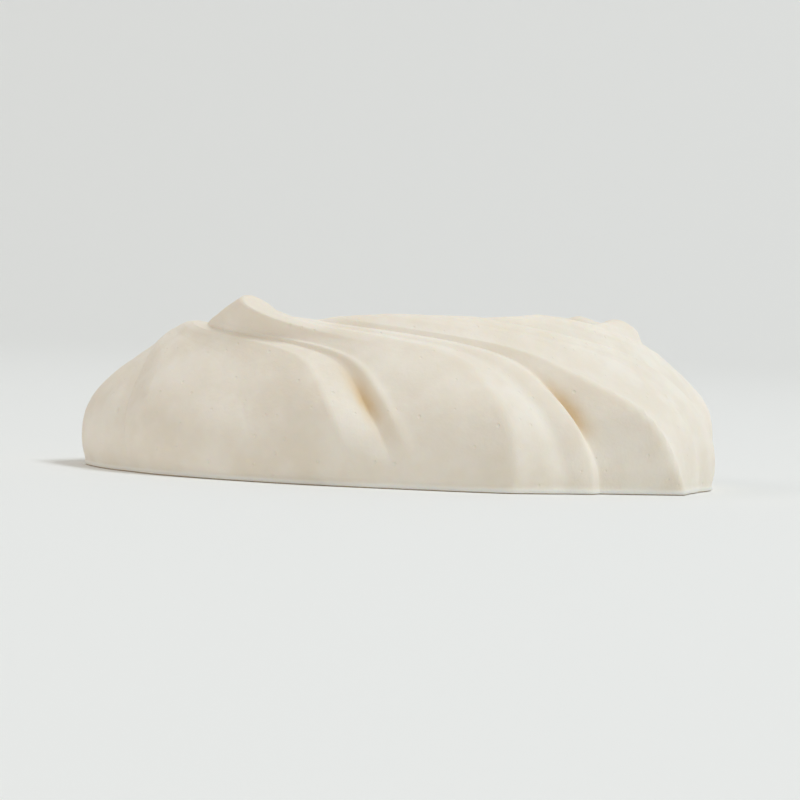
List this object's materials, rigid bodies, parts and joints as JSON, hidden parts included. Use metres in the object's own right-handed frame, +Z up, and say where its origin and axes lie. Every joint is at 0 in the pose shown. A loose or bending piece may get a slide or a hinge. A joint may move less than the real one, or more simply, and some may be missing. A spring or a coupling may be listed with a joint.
{
  "type": "meringue nest",
  "caption": "Baked meringue nest: a flat-based ring of piped, swirling petals round a shallow hollow for cream and fruit.",
  "frame": {"origin": "centre of the flat base, on the surface that the nest stands on", "axes": "+Z up through the hollow's mouth; -Y is the front, the side with the deep golden crease; the petals swirl clockwise, seen from above, from the base up to the rim"},
  "size_m": [0.0792, 0.0763, 0.0219],
  "materials": {
    "baked_meringue": "matt, fine-grained baked sugar crust, off-white, golden in the creases, in the hollow and at the base edge"
  },
  "bodies": {
    "root": {"meringue_nest": "baked_meringue"}
  },
  "joints": []
}
